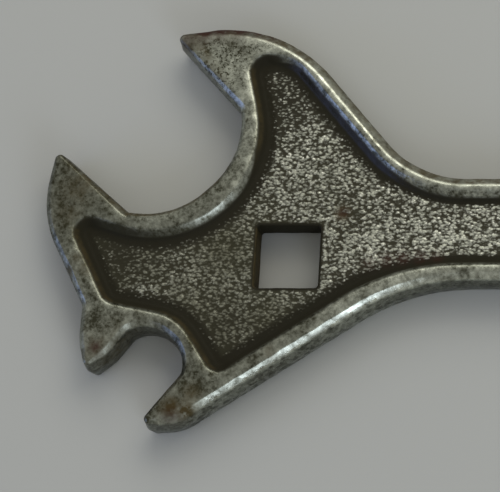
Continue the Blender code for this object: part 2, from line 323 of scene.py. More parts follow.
# Noises in the steel: size of the lumps, seed, detail and roughness
NOISES = {
    "cloud": (0.005, 1.0, 3.0, 0.5),
    "speck": (0.0006, 2.0, 2.0, 0.65),
    "fine": (0.00022, 5.0, 2.0, 0.5),
    "pit": (0.0004, 7.0, 3.0, 0.7),
    "wear": (0.0016, 9.0, 3.0, 0.6),
    "fleck": (0.0003, 11.0, 2.0, 0.6),
    "blotch": (0.0011, 13.0, 2.0, 0.5),
    "scuff": (0.0012, 15.0, 3.0, 0.65),
}
DIMPLES = (0.0024, 3.0, 2.0, 0.5)

# Steel, and the pebbles in its web
PEBBLE_STRETCH = (0.65, 1.05, 0.0)
PEBBLE_SWAY = 0.9
PEBBLE_BLEND = 0.3
PEBBLE_DOME = 0.75
DOME_RAMP = (0.8, 0.1)
RIPPLE_RAMP = (0.3, 0.7)
DIMPLE_RAMP = (0.3, 0.7)
PIT_RAMP = (0.5, 0.38)
TOP_RAMP = (0.12, 1.0)
WEB_RAMP = (0.0, 0.3)
GLINT_RAMP = (0.04, 0.18)
SCUFF_RAMP = (0.56, 0.44)
BLOTCH_RAMP = (0.35, 0.6)
LEAST_BLOTCH = 0.35
RUST_RAMP = (0.2, 0.5)
RIM_TONE = 0.27
RIM_FILM_AND_SHADE = 0.5
LEAST_PITS = 0.22
STEEL_GLOSS = 0.15
BUMP_STRENGTH = 0.5
BUMP_DEPTH = 0.00006

# Camera: where the middle of the picture looks, and how
VIEW_POINT = Vector((-0.056625, -0.003866, 0.007))
VIEW_TILT = 21.0
VIEW_SIDE = (0.59, -0.81)
VIEW_DISTANCE = 0.4
VIEW_LENS = 195.55
VIEW_SENSOR = 36.0
VIEW_NEAREST = 0.01
VIEW_FURTHEST = 10.0

# Floor, surroundings and lights, each light with its azimuth, elevation and size
FLOOR_HALF = 1.6
FLOOR_ROUGHNESS = 0.75
FLOOR_GLOSS = 0.2
STUDIO_COLOUR = (1.0, 0.98, 0.92, 1.0)
LIGHT_DISTANCE = 0.9
LIGHTS = {
    "warm": (48, 48, 0.5),
    "north": (84, 42, 0.5),
    "cool": (200, 14, 0.6),
    "front": (-56, 30, 0.38),
}

# Keywords that like properties share
LENGTH = {"unit": "LENGTH", "precision": 4}
FINE_LENGTH = {"unit": "LENGTH", "precision": 5}
COLOUR = {"subtype": "COLOR", "min": 0.0, "max": 1.0}
POWER = {"unit": "POWER", "min": 0.0}


class WrenchSizes(bpy.types.PropertyGroup):
    """Sizes of the forging."""

    overall_length: FloatProperty(
        name="Overall Length", description="From the large jaw's back to the handle's end",
        default=0.178, min=0.12, **LENGTH,
    )
    thickness: FloatProperty(
        name="Thickness", description="Thickness at the rims", default=0.007, min=0.004, **LENGTH,
    )
    handle_width: FloatProperty(
        name="Handle Width", description="Width of the handle at the parting line",
        default=0.0161, min=0.012, **LENGTH,
    )
    large_jaw_opening: FloatProperty(
        name="Large Jaw", description="Opening of the large jaw at its throat",
        default=0.0224, min=0.018, **LENGTH,
    )
    small_jaw_opening: FloatProperty(
        name="Small Jaw", description="Opening of the small jaw", default=0.0101, min=0.008, **LENGTH,
    )
    hole_size: FloatProperty(
        name="Square Hole", description="Width across the flats of the hole",
        default=0.009525, min=0.006, **LENGTH,
    )
    recess_depth: FloatProperty(
        name="Recess Depth", description="Depth of the web below the rim on each face",
        default=0.0015, min=0.0005, **LENGTH,
    )
    edge_radius: FloatProperty(
        name="Edge Radius", description="Rounding of the handle's edges",
        default=0.0012, min=0.0003, **LENGTH,
    )


class WrenchFinish(bpy.types.PropertyGroup):
    """Texture and colours of the steel."""

    grain_size: FloatProperty(
        name="Grain Size", description="Spacing of the pebbles on the web",
        default=0.00042, min=0.0002, **FINE_LENGTH,
    )
    grain_depth: FloatProperty(
        name="Grain Depth", description="Height of the pebbles above the hollows between them",
        default=0.00008, min=0.0, **FINE_LENGTH,
    )
    skin_depth: FloatProperty(
        name="Skin Unevenness", description="Depth of the shallow hollows in the rims and walls",
        default=0.00005, min=0.0, **FINE_LENGTH,
    )
    grain_seed: IntProperty(
        name="Grain Seed", description="Another number gives another grain", default=4, min=0,
    )
    # Rubbed steel is also the colour of the painted highlights on the shoulder and the lower edge
    bright_steel: FloatVectorProperty(
        name="Rubbed Steel", description="Steel polished by handling", default=(0.52, 0.55, 0.47), **COLOUR,
    )
    dull_steel: FloatVectorProperty(
        name="Dull Steel", description="Tarnished forged skin", default=(0.050, 0.050, 0.034), **COLOUR,
    )
    # Grime is also the colour of painted shade at the foot and in the corners of the recess and in the hole
    grime_and_shade: FloatVectorProperty(
        name="Grime", description="Oily dirt in the recess", default=(0.0135, 0.0122, 0.0058), **COLOUR,
    )
    rust: FloatVectorProperty(
        name="Rust", description="Red-brown rust", default=(0.032, 0.011, 0.006), **COLOUR,
    )
    # Stain also paints warm shade and a dull brown reflection on walls facing north or east and inside the
    # small jaw
    stain: FloatVectorProperty(
        name="Stain", description="Brown tarnish", default=(0.055, 0.042, 0.016), **COLOUR,
    )
    hollow: FloatVectorProperty(
        name="Hollows", description="Dark skin between the pebbles", default=(0.031, 0.029, 0.017), **COLOUR,
    )
    # Film and tarnish are the darker colours laid towards the jaws: partly an oily film, partly painted shade
    film_and_shade: FloatVectorProperty(
        name="Film", description="Oily film over the hollows towards the jaws",
        default=(0.028, 0.027, 0.014), **COLOUR,
    )
    tarnish_and_shade: FloatVectorProperty(
        name="Tarnish", description="Pebble tops under the oily film",
        default=(0.128, 0.127, 0.088), **COLOUR,
    )
    pebble: FloatVectorProperty(
        name="Pebbles", description="Bright tops of the pebbles", default=(0.49, 0.51, 0.43), **COLOUR,
    )
    # Glints are painted highlights: a near-white colour laid on random flecks of the pebble tops
    glint: FloatVectorProperty(
        name="Glints", description="Clean facets of the pebbles that catch the light",
        default=(0.95, 0.96, 0.86), **COLOUR,
    )
    roughness: FloatProperty(
        name="Roughness", description="Roughness of the rubbed steel",
        default=0.36, subtype="FACTOR", min=0.0, max=1.0,
    )


class WrenchStage(bpy.types.PropertyGroup):
    """Floor and lights."""

    floor_colour: FloatVectorProperty(
        name="Floor", description="Plain pale floor", default=(0.392, 0.405, 0.392), **COLOUR,
    )
    warm_colour: FloatVectorProperty(
        name="Warm Light", description="Light from the handle's side", default=(1.0, 0.94, 0.83), **COLOUR,
    )
    warm_power: FloatProperty(
        name="Warm Power", description="Strength of the warm light", default=1.7, **POWER,
    )
    north_colour: FloatVectorProperty(
        name="North Light", description="Light from behind the large jaw",
        default=(1.0, 0.97, 0.90), **COLOUR,
    )
    north_power: FloatProperty(
        name="North Power", description="Strength of the north light", default=1.7, **POWER,
    )
    cool_colour: FloatVectorProperty(
        name="Cool Light", description="Light from the jaws' side", default=(0.22, 0.37, 1.0), **COLOUR,
    )
    cool_power: FloatProperty(
        name="Cool Power", description="Strength of the cool light", default=1.7, **POWER,
    )
    front_colour: FloatVectorProperty(
        name="Front Light", description="Light from the camera's side", default=(0.76, 0.84, 1.0), **COLOUR,
    )
    front_power: FloatProperty(
        name="Front Power", description="Strength of the front light", default=1.65, **POWER,
    )
    ambient: FloatProperty(
        name="Ambient", description="Even light from all round", default=0.53, min=0.0, max=1.0,
    )


def heading(angle):
    """Unit vector at this angle."""
    return Vector((math.cos(math.radians(angle)), math.sin(math.radians(angle))))


def meet(line_a, line_b):
    """Point where two lines cross. A line is a point on it and the angle that it runs at."""
    (point_a, angle_a), (point_b, angle_b) = line_a, line_b
    along_a, along_b = heading(angle_a), heading(angle_b)
    return point_a + along_a * ((point_b - point_a).cross(along_b) / along_a.cross(along_b))


def offset(line, distance):
    """The line moved to its left by this distance."""
    point, angle = line
    return point + heading(angle + 90) * distance, angle


def line_through(start, end):
    along = Vector(end) - Vector(start)
    return Vector(start), math.degrees(math.atan2(along.y, along.x))


def tangent(centre, radius, angle):
    """Line touching a circle at this angle, running clockwise round it."""
    return Vector(centre) + heading(angle) * radius, angle - 90


def rounded(corners):
    """Points and inward normals of a closed outline, from (point, fillet radius, ...) corners in
    anticlockwise order. Whatever follows a corner's radius is given back for each point of its fillet."""
    count = len(corners)
    points = [Vector(corner[0]) for corner in corners]
    sides = [points[i] - points[i - 1] for i in range(count)]
    turns = [-sides[i].angle_signed(sides[(i + 1) % count]) for i in range(count)]
    reach = [corners[i][1] * math.tan(abs(turns[i]) / 2) for i in range(count)]
    path, normals, others = [], [], []
    for i in range(count):
        after = (i + 1) % count
        shrink = min(
            1,
            FILLET_SHARE * sides[i].length / (reach[i - 1] + reach[i]),
            FILLET_SHARE * sides[after].length / (reach[i] + reach[after]),
        )
        side = math.copysign(shrink, turns[i])
        along = sides[i].normalized()
        left = math.degrees(math.atan2(along.y, along.x)) + 90
        centre = points[i] - along * reach[i] * shrink + heading(left) * corners[i][1] * side
        turn = math.degrees(turns[i])
        steps = max(1, math.ceil(round(abs(turn) / ARC_STEP, 3)))
        for step in range(steps + 1):
            inward = heading(left + turn * step / steps)
            path.append(centre - inward * corners[i][1] * side)
            normals.append(inward)
            others.append(corners[i][2:])
    return np.array(path), np.array(normals), np.array(others)


def lean(sizes, edge):
    """How far in from the parting line a wall is where an edge of this size starts."""
    return (sizes.thickness / 2 - edge) * math.tan(math.radians(DRAFT_ANGLE))


def throat(opening, depth):
    """Radius of a throat through the inner ends of its flats, and how far behind its centre they lie."""
    half = opening / 2
    radius = (half * half + depth * depth) / (2 * depth)
    return radius, radius - depth


def jaw_point(centre, angle, out, across):
    """Plan point of a jaw: out along its mouth from the throat's centre, across to the right of the mouth."""
    return Vector(centre) + heading(angle) * out + heading(angle - 90) * across


def throat_corners(centre, angle, opening, depth):
    """Corners between a jaw's two flats, from the one on the right of the mouth to the one on the left."""
    radius, flat_start = throat(opening, depth)
    half = opening / 2
    half_turn = math.asin(half / radius) / 2
    side = radius * math.tan(half_turn)
    fillet = radius * (1 - KINK_RADIUS * math.tan(math.radians(45) - half_turn) / side)
    places = (
        (-flat_start, half, KINK_RADIUS),
        (-radius, side, fillet),
        (-radius, -side, fillet),
        (-flat_start, -half, KINK_RADIUS),
    )
    return [(jaw_point(centre, angle, out, across), size) for out, across, size in places]


class Plan:
    """Outlines of the forging as (point, fillet radius) corners."""

    def __init__(self, sizes):
        self.sizes = sizes
        half = sizes.handle_width / 2
        self.bottom = Vector((0, HANDLE_RISE - half)), 0.0
        self.top = Vector((0, HANDLE_RISE + half)), 180.0
        self.large_radius, self.large_flat = throat(sizes.large_jaw_opening, LARGE_THROAT_DEPTH)
        self.small_radius, self.small_flat = throat(sizes.small_jaw_opening, SMALL_THROAT_DEPTH)
        outward = heading(90 - SHOULDER_SLOPE)
        wall = Vector(LARGE_JAW_CENTRE) + outward * (self.large_radius + SHOULDER_WALL)
        self.shoulder = wall, 180 - SHOULDER_SLOPE
        self.upper_tip = self.large_tip(LARGE_UPPER_REACH, LARGE_UPPER_FLARE, 1)
        self.lower_tip = self.large_tip(LARGE_LOWER_REACH, LARGE_LOWER_FLARE, -1)
        self.crest = self.upper_tip + Vector((0, CREST_RISE)), 180.0
        self.lower = Vector(LOWER_CORNER), LOWER_SLOPE
        head = self.head()
        self.end = min(rounded(head)[0][:, 0]) + sizes.overall_length

    def large_tip(self, reach, flare, side):
        """Sharp end of a large prong: side is 1 for the upper one and -1 for the lower one."""
        spread = (reach + self.large_flat) * math.tan(math.radians(flare))
        across = side * (self.sizes.large_jaw_opening / 2 + spread)
        return jaw_point(LARGE_JAW_CENTRE, LARGE_JAW_ANGLE, reach, across)

    def head(self):
        """Corners from the handle's upper neck round the head to its lower neck, with their edges' sizes."""
        sizes = self.sizes
        tip = TIP_RADIUS + TIP_EDGE + lean(sizes, TIP_EDGE), TIP_EDGE
        small = SMALL_JAW_CENTRE, SMALL_JAW_ANGLE
        large = LARGE_JAW_CENTRE, LARGE_JAW_ANGLE
        half = sizes.small_jaw_opening / 2
        shoulder_top = meet(self.shoulder, self.crest)
        edges = JAW_EDGE, THROAT_EDGE, THROAT_EDGE, JAW_EDGE
        large_throat = throat_corners(*large, sizes.large_jaw_opening, LARGE_THROAT_DEPTH)
        small_throat = throat_corners(*small, sizes.small_jaw_opening, SMALL_THROAT_DEPTH)
        return [
            (meet(self.top, self.shoulder), TOP_NECK_RADIUS, CREST_EDGE),
            (shoulder_top, SHOULDER_RADIUS, CREST_EDGE),
            (shoulder_top - Vector((CREST_LENGTH, 0)), CREST_RADIUS, CREST_EDGE),
            (self.upper_tip, *tip),
            *[(*corner, edge) for corner, edge in zip(large_throat, edges)],
            (self.lower_tip, *tip),
            (BACK_BULGE, BULGE_RADIUS, BACK_EDGE),
            (BACK_NOTCH, NOTCH_RADIUS, BACK_EDGE),
            (SMALL_BACK_BEND, SMALL_BACK_BEND_RADIUS, BACK_EDGE),
            (jaw_point(*small, SMALL_TIP_REACH, half + SMALL_TIP_SPREAD), *tip),
            (jaw_point(*small, SMALL_BACK_REACH, half), SMALL_BACK_CURVE, JAW_EDGE),
            *[(*corner, JAW_EDGE) for corner in small_throat],
            (jaw_point(*small, SMALL_FRONT_REACH, -half), *tip),
            (LOWER_CORNER, LOWER_CORNER_RADIUS, LOWER_EDGE),
            (meet(self.lower, self.bottom), BOTTOM_NECK_RADIUS, LOWER_EDGE),
        ]

    def outline(self):
        """Corners of the parting line all round."""
        ends = [(self.end, line[0].y) for line in (self.bottom, self.top)]
        return [(point, HANDLE_END_RADIUS, self.sizes.edge_radius) for point in ends] + self.head()

    def recess(self):
        """Corners of the recess at its upper edge."""
        bottom = offset(self.bottom, RIM_HANDLE)
        top = offset(self.top, RIM_HANDLE)
        end = Vector((self.end - RIM_END, 0)), 90.0
        shoulder = offset(self.shoulder, RIM_SHOULDER)
        lobe_end = offset(self.crest, RIM_CREST)
        rear = offset(line_through(BACK_BULGE, BACK_NOTCH), RIM_BACK)
        lower = offset(self.lower, RIM_LOWER)
        large = self.large_radius + RIM_LARGE_SIDE
        large_centre = jaw_point(LARGE_JAW_CENTRE, LARGE_JAW_ANGLE, RIM_LARGE_SIDE - RIM_LARGE_THROAT, 0)
        upper_side = tangent(large_centre, large, UPPER_LOBE_ANGLE)
        lower_side = tangent(large_centre, large, LOWER_LOBE_ANGLE)
        small = self.small_radius + RIM_SMALL_THROAT
        small_back = tangent(SMALL_JAW_CENTRE, small, SMALL_BACK_ANGLE)
        small_front = tangent(SMALL_JAW_CENTRE, small, SMALL_FRONT_ANGLE)
        return [
            (meet(bottom, end), LOBE_RADIUS),
            (meet(end, top), LOBE_RADIUS),
            (meet(top, shoulder), TOP_NECK_RADIUS + RIM_HANDLE),
            (meet(shoulder, lobe_end), LOBE_SHOULDER_RADIUS),
            (meet(lobe_end, upper_side), UPPER_LOBE_RADIUS),
            (meet(upper_side, lower_side), large),
            (meet(lower_side, rear), LOBE_RADIUS),
            (meet(rear, small_back), LOBE_BACK_RADIUS),
            (meet(small_back, small_front), small),
            (meet(small_front, lower), LOBE_RADIUS),
            (meet(lower, bottom), BOTTOM_NECK_RADIUS + RIM_HANDLE),
        ]

    def hole(self):
        """Corners of the square hole at the web's faces."""
        half = self.sizes.hole_size / 2 + HOLE_EDGE_RADIUS
        radius = HOLE_CORNER_RADIUS + HOLE_EDGE_RADIUS
        return [((x * half, y * half), radius) for x, y in ((-1, -1), (1, -1), (1, 1), (-1, 1))]


def refined(longest, measured, *others):
    """The matched closed rings with points added, so that no step of the measured ones is too long."""
    rings = [*measured, *others]
    steps = [np.roll(ring, -1, 0) - ring for ring in rings]
    lengths = np.max([np.hypot(*step.T) for step in steps[: len(measured)]], 0)
    counts = np.maximum(1, np.ceil(lengths / longest)).astype(int)
    which = np.repeat(np.arange(len(counts)), counts)
    share = (np.arange(len(which)) - np.repeat(np.cumsum(counts) - counts, counts)) / counts[which]
    return [ring[which] + step[which] * share[:, None] for ring, step in zip(rings, steps)]


def inside(points, ring):
    """Whether each point lies inside a closed ring."""
    order = np.argsort(points[:, 1])
    x, y = points[order].T
    odd = np.zeros(len(points), bool)
    for start, end in zip(ring, np.roll(ring, -1, 0)):
        low, high = sorted((start[1], end[1]))
        some = slice(*np.searchsorted(y, (low, high)))
        if some.start < some.stop:
            odd[some] ^= x[some] < start[0] + (end[0] - start[0]) * (y[some] - start[1]) / (end[1] - start[1])
    found = np.empty(len(points), bool)
    found[order] = odd
    return found


def away(points, ring):
    """Distance of each point from a closed ring."""
    marks = refined(NEAR_STEP, [ring])[0]
    tree = KDTree(len(marks))
    for number, (x, y) in enumerate(marks):
        tree.insert((x, y, 0), number)
    tree.balance()
    return np.array([tree.find((x, y, 0))[2] for x, y in points])


def scattered(outer, inner, spacing, random):
    """Points about this far apart between two rings, clear of both."""
    low, high = outer.min(0), outer.max(0)
    across = np.arange(low[0], high[0], spacing)
    up = np.arange(low[1], high[1], spacing * ROW_HEIGHT)
    x, y = np.meshgrid(across, up)
    x[1::2] += spacing / 2
    points = np.stack([x.ravel(), y.ravel()], 1)
    points += random.uniform(-SCATTER_SHIFT, SCATTER_SHIFT, points.shape) * spacing
    points = points[inside(points, outer) & ~inside(points, inner)]
    for ring in (outer, inner):
        points = points[away(points, ring) > spacing * SCATTER_CLEAR]
    return points


def filled(outer, inner, between):
    """Triangles over the area between two rings, numbered through the outer, inner and scattered points."""
    rings, first = [], 0
    for ring in (outer, inner):
        turn = [*range(first, first + len(ring))]
        rings.extend(zip(turn, turn[1:] + turn[:1]))
        first += len(ring)
    points = [Vector(point) for ring in (outer, inner, between) for point in ring]
    result = delaunay_2d_cdt(points, rings, [], HULL_TRIANGLES, WELD_DISTANCE, True)
    origin = [found[0] if found else -1 for found in result[3]]
    triangles = [[origin[corner] for corner in face] for face in result[2]]
    sides = [[(a, b), (b, c), (c, a)] for a, b, c in triangles]
    owner = {side: number for number, three in enumerate(sides) for side in three}
    if -1 in origin or not owner.keys() >= set(rings[: len(outer)]):
        raise RuntimeError("a flat of the forging crosses itself")
    stops = set(rings) | {ring[::-1] for ring in rings}
    reached = {owner[rings[0]]}
    waiting = list(reached)
    while waiting:
        for side in sides[waiting.pop()]:
            beyond = owner.get(side[::-1])
            if side not in stops and beyond not in reached:
                reached.add(beyond)
                waiting.append(beyond)
    return np.array([triangles[number] for number in sorted(reached)])


def smooth(value, low, high):
    """0 below low, 1 above high and an S between them."""
    share = np.clip((value - low) / (high - low), 0, 1)
    return share * share * (3 - 2 * share)


def quarter(radius, steps):
    """(inset, drop) pairs of a rounded edge, from the wall up to the flat."""
    angles = [math.pi / 2 * step / steps for step in range(steps + 1)]
    return [(radius * (1 - math.cos(angle)), radius * (1 - math.sin(angle))) for angle in angles]


def worn_edge():
    """(inset, drop) pairs of an outer edge of size 1, from wall to flat: a bevel between two rounds."""
    rounds = quarter(1 - WORN_SHARE, 2 * EDGE_STEPS)
    below = [(inset, drop + WORN_SHARE) for inset, drop in rounds[: EDGE_STEPS + 1]]
    above = [(inset + WORN_SHARE, drop) for inset, drop in rounds[EDGE_STEPS:]]
    return below + above


class Skin:
    """Vertices and faces of the forging while they are put together."""

    def __init__(self):
        self.places, self.kinds, self.shares, self.faces = [], [], [], []
        self.total = 0

    def add(self, plan, heights, kind, share=0.0):
        """Adds points of one kind and returns their numbers."""
        count = len(plan)
        self.places.append(np.column_stack([plan, np.broadcast_to(heights, count)]))
        self.kinds.append(np.full(count, kind))
        self.shares.append(np.broadcast_to(share, count))
        self.total += count
        return np.arange(self.total - count, self.total)

    def band(self, rings, flip=False):
        """Quads between each ring of numbers and the next."""
        for lower, upper in zip(rings, rings[1:]):
            quads = np.stack([lower, np.roll(lower, -1), np.roll(upper, -1), upper], 1)
            self.faces.extend((quads[:, ::-1] if flip else quads).tolist())

    def sheet(self, numbers, triangles, flip=False):
        """Triangles over a flat."""
        faces = numbers[triangles]
        self.faces.extend((faces[:, ::-1] if flip else faces).tolist())


def slope_drop(share):
    """How deep a recess wall is at this share of its width: straight, with a round at its top and foot."""
    mean = 1 - (SLOPE_TOP + SLOPE_FOOT) / 2
    top = share * share / (2 * SLOPE_TOP)
    foot = mean - (1 - share) ** 2 / (2 * SLOPE_FOOT)
    below = np.where(share > 1 - SLOPE_FOOT, foot, share - SLOPE_TOP / 2)
    return np.where(share < SLOPE_TOP, top, below) / mean


def wall_levels(sizes, edges):
    """(insets, heights) of the outer wall's rings, from the underside up, for these edge sizes."""
    middle = sizes.thickness / 2
    start = lean(sizes, edges)
    half = [(start + edges * inset, edges * drop) for inset, drop in worn_edge()[::-1]]
    for step in range(1, WALL_STEPS):
        share = step / WALL_STEPS
        half.append((start * (1 - share), edges + (middle - edges) * share))
    upper = [(inset, sizes.thickness - height) for inset, height in half[::-1]]
    return half + [(edges * 0, middle)] + upper


def hole_levels(sizes):
    """(inset, height) levels of the hole's wall, from the lower web face to the upper one."""
    edge = [(HOLE_EDGE_RADIUS - inset, drop) for inset, drop in quarter(HOLE_EDGE_RADIUS, HOLE_EDGE_STEPS)]
    low = sizes.recess_depth + HOLE_EDGE_RADIUS
    high = sizes.thickness - low
    lower = [(inset, sizes.recess_depth + drop) for inset, drop in edge[::-1]]
    steps = [step / HOLE_WALL_STEPS for step in range(1, HOLE_WALL_STEPS)]
    middle = [(HOLE_EDGE_RADIUS, low + (high - low) * step) for step in steps]
    upper = [(inset, sizes.thickness - sizes.recess_depth - drop) for inset, drop in edge]
    return lower + middle + upper


def forging_skin(sizes):
    """The whole skin, and the rings that its finish is measured from."""
    plan = Plan(sizes)
    random = np.random.default_rng(SCATTER_SEED)
    skin = Skin()
    path, *others = rounded(plan.outline())
    path, normals, edges = refined(WALL_STEP, [path], *others)
    levels = wall_levels(sizes, edges)
    wall = []
    rubbed = smooth(edges.ravel(), *RUBBED_BEVELS)
    for inset, height in levels:
        height = (height + edges * 0).ravel()
        bevel = np.minimum(height, sizes.thickness - height) < edges.ravel() * BEVEL_SHARE
        wall.append(skin.add(path + normals * inset, height, WALL, bevel * rubbed))
    skin.band(wall)
    hole, into, _ = rounded(plan.hole())
    hole, into = refined(WALL_STEP, [hole], into)
    through = [skin.add(hole + into * inset, height, HOLE) for inset, height in hole_levels(sizes)]
    skin.band(through, flip=True)
    edge, down, _ = rounded(plan.recess())
    edge, down = refined(WALL_STEP, [edge], down)
    floor = edge + down * RECESS_SLOPE
    rim_outer = path + normals * (lean(sizes, edges) + edges)
    rim_points = scattered(rim_outer, edge, RIM_STEP, random)
    rim_faces = filled(rim_outer, edge, rim_points)
    web_points = scattered(floor, hole, WEB_STEP, random)
    web_faces = filled(floor, hole, web_points)
    shares = np.linspace(0, 1, SLOPE_STEPS + 1)
    drops = sizes.recess_depth * slope_drop(shares)
    for flip, outer, inner in ((False, wall[-1], through[-1]), (True, wall[0], through[0])):
        height = [drop if flip else sizes.thickness - drop for drop in drops]
        rings = [
            skin.add(edge + down * RECESS_SLOPE * share, level, SLOPE, share)
            for share, level in zip(shares, height)
        ]
        skin.band(rings, flip=flip)
        rim = skin.add(rim_points, height[0], RIM)
        web = skin.add(web_points, height[-1], WEB)
        skin.sheet(np.concatenate([outer, rings[0], rim]), rim_faces, flip)
        skin.sheet(np.concatenate([rings[-1], inner, web]), web_faces, flip)
    return skin, {"outer": rim_outer, "edge": edge, "floor": floor, "hole": hole}


def spots(places, marks):
    """Strength of soft round marks at each place."""
    strength = np.zeros(len(places))
    for centre, radius, amount in marks:
        reach = np.linalg.norm(places / MM - centre, axis=1) / radius
        strength = np.maximum(strength, amount * np.exp(-reach * reach))
    return strength


def near(places, ring, reach):
    """1 on a ring, fading with the distance from it."""
    return np.exp(-away(places[:, :2], ring) / reach)


def web_and_darkening(places, kinds, shares, level, rings):
    """How pebbled the web is and how dark the recess is made, for every vertex: dirt, and painted shade in
    its corners, along the foot of its walls and in the hole. Level is where the recess's walls face in plan."""
    web, dirt_and_shade = np.zeros(len(places)), np.zeros(len(places))
    floor, walls = kinds == WEB, kinds == SLOPE
    from_wall, from_hole = (away(places[floor, :2], rings[name]) for name in ("floor", "hole"))
    fade = HEAD_FADE + (HANDLE_FADE - HEAD_FADE) * smooth(places[floor, 0], *NECK)
    web[floor] = smooth(from_wall, FADE_START, fade) * smooth(from_hole, 0.0, HOLE_FADE)
    dirt_and_shade[floor] = 1 - smooth(from_wall, 0.0, fade)
    x, y = level
    # Walls facing south or north are left cleaner and brighter along their tops, where the lamps' highlights
    # fall
    south = CLEAN_SOUTH + CLEAN_SOUTH_EAST * smooth(x, *FACES_EASTWARD)
    clean = CLEAN_SHARE + smooth(-y, *FACES_SOUTH) * south + CLEAN_NORTH * smooth(y, *FACES_NORTH)
    dirt_and_shade[walls] = smooth(shares[walls] - clean, 0.0, DARKENING_FADE)
    # Hole walls darkened: dirt and painted shade
    dirt_and_shade[kinds == HOLE] = HOLE_DARKENING
    # Thick grime and painted shade in the recess's corners
    thick = spots(places, GRIME_AND_SHADE_SPOTS) * np.where(walls, smooth(shares, *GRIME_AND_SHADE_FADE), floor)
    return web * (1 - thick), np.maximum(dirt_and_shade, thick)


def rubbed_edges_and_highlights(places, kinds, shares, facing, level, rings):
    """How far the edges are rubbed clean, for every vertex, with painted highlights on recess walls facing
    north and south-east and painted shade on outer bevels facing south-west.
    """
    edge = np.zeros(len(places))
    floor, walls, outside, rim = (kinds == kind for kind in (WEB, SLOPE, WALL, RIM))
    x, y = level
    north = smooth(y, *FACES_NORTH)
    # Tops of walls facing north are brightened where the lamps' highlights fall: painted highlight
    top = 1 - smooth(shares[walls], 0.0, WALL_TOP_SHARE + NORTH_HIGHLIGHT_SHARE * north)
    top *= WALL_TOP_RUB + NORTH_TOP_HIGHLIGHT * north
    # Recess walls facing south-east are left bright where the front lamp's highlight falls: painted highlight
    bare = smooth(x, *FACES_HIGHLIGHT) * smooth(-y, *FACES_HIGHLIGHT)
    edge[walls] = np.maximum(top, bare * (1 - smooth(shares[walls], *HIGHLIGHT_FADE)))
    edge[floor] = HOLE_RUB * near(places[floor], rings["hole"], HOLE_RUB_REACH)
    # Outer bevels facing south-west are dulled to dim the cool lamp's reflection: painted shade
    mouth = smooth(-facing[:, 0], *FACES_MOUTH) * smooth(-facing[:, 1], *FACES_MOUTH)
    edge[outside] = (shares * (1 - MOUTH_SHADE * mouth))[outside]
    edge[rim] = np.maximum(
        INNER_RIM_RUB * near(places[rim], rings["edge"], RIM_RUB_REACH),
        OUTER_RIM_RUB * near(places[rim], rings["outer"], RIM_RUB_REACH),
    )
    return edge


def brightened(places, kinds, facing):
    """How bright the shoulder, the lower edge and some rims are made, for every vertex: polish from handling,
    and painted highlights where the lamps' highlights fall on the shoulder and on walls facing south.
    """
    x, y = places[:, 0], places[:, 1]
    shoulder = SHOULDER_SHINE * smooth(x, *SHOULDER_SHINE_X) * smooth(y, *SHOULDER_SHINE_Y)
    lower = (kinds == WALL) * smooth(-facing[:, 1], *FACES_LOWER)
    lower *= LOWER_SHINE * smooth(x, *LOWER_SHINE_START) * smooth(x, *LOWER_SHINE_END)
    return np.maximum(np.maximum(shoulder, lower), spots(places, POLISH))


def browned(places, kinds, shares, facing):
    """How brown the steel is, for every vertex: spots, outer walls that face north, and recess walls and hole
    walls that face east. On the walls the brown is partly a painted warm reflection and painted shade."""
    x, y = facing[:, 0], facing[:, 1]
    north = (kinds == WALL) * np.where(shares > 0, BEVEL_BROWN, WALL_BROWN) * smooth(y, *BROWN_NORTH)
    band = (kinds == SLOPE) * smooth(shares, *BAND_START) * (1 - smooth(shares, *BAND_END))
    east = BAND_BROWN * band + HOLE_BROWN * (kinds == HOLE)
    east *= smooth(x, *BROWN_EAST) * smooth(y, *BROWN_NORTHWARD)
    return np.maximum(spots(places, STAIN_AND_SHADE_SPOTS), np.maximum(north, east))


def finish_values(places, kinds, shares, facing, rings):
    """The finish of every vertex, as named values from 0 up."""
    walls = kinds == SLOPE
    level = facing[walls, :2] / np.linalg.norm(facing[walls, :2], axis=1)[:, None].clip(1e-6)
    web, dirt_and_shade = web_and_darkening(places, kinds, shares, level.T, rings)
    return {
        "web": web,
        "slope": dirt_and_shade,
        "edge": rubbed_edges_and_highlights(places, kinds, shares, facing, level.T, rings),
        "shine": brightened(places, kinds, facing),
        # Recess walls facing south-west, where the cool lamp is reflected, are glossier and darker: partly
        # oil, partly painted shade that dims the reflection
        "oil": walls * smooth(-facing[:, 0], *FACES_OILY) * smooth(-facing[:, 1], *FACES_OILY),
        "rust": spots(places, RUST),
        "stain": browned(places, kinds, shares, facing),
        # Darker towards the jaws: partly an oily film, partly painted shade
        "soot": spots(places, SOOT_AND_SHADE_SPOTS) * (1 - spots(places, PAINTED_GLINTS)),
        "pits": spots(places, PITS),
    }


def vertex_vectors(mesh, name):
    """The places or the normals of a mesh's vertices."""
    values = np.empty(len(mesh.vertices) * 3)
    mesh.vertices.foreach_get(name, values)
    return values.reshape(-1, 3)


def knock_dents(mesh):
    """Presses the chips and dents into the skin."""
    places, normals = vertex_vectors(mesh, "co"), vertex_vectors(mesh, "normal")
    for centre, radius, depth in DENTS:
        reach = np.linalg.norm(places / MM - centre, axis=1) / radius
        places -= normals * (np.exp(-reach * reach) * depth * MM)[:, None]
    mesh.vertices.foreach_set("co", places.ravel())
    mesh.update()


